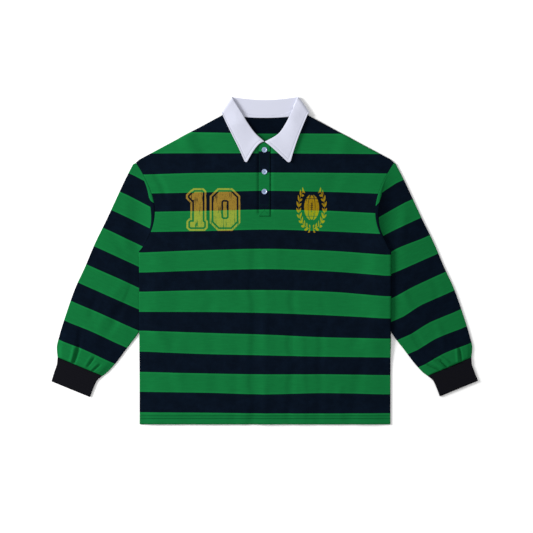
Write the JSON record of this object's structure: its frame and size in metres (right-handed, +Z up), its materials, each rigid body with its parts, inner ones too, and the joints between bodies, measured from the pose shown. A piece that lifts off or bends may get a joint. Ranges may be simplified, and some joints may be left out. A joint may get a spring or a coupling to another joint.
{
  "type": "rugby shirt",
  "caption": "Long-sleeved hooped rugby shirt with a white turn-down collar, buttoned placket and dark ribbed cuffs, laid flat and face up.",
  "frame": {"origin": "centre of the shirt's footprint, on the plane it lies on", "axes": "+X towards the wearer's left sleeve, along the longest extent; +Y towards the collar; +Z up, out of the shirt's front"},
  "size_m": [1.0236, 0.786, 0.0097],
  "materials": {
    "jersey": "matt heavy cotton jersey, hooped green and navy",
    "rib": "matt charcoal cotton rib",
    "drill": "matt white cotton drill",
    "button": "glossy pale blue polyester"
  },
  "bodies": {
    "root": {"back_panel": "jersey", "front_panel": "jersey", "sleeve_right": "jersey", "sleeve_left": "jersey", "placket_under": "jersey", "placket_top": "jersey", "cuff_right": "rib", "cuff_left": "rib", "collar": "drill", "neck_tape": "drill", "button_1": "button", "button_2": "button", "button_3": "button"}
  },
  "joints": []
}
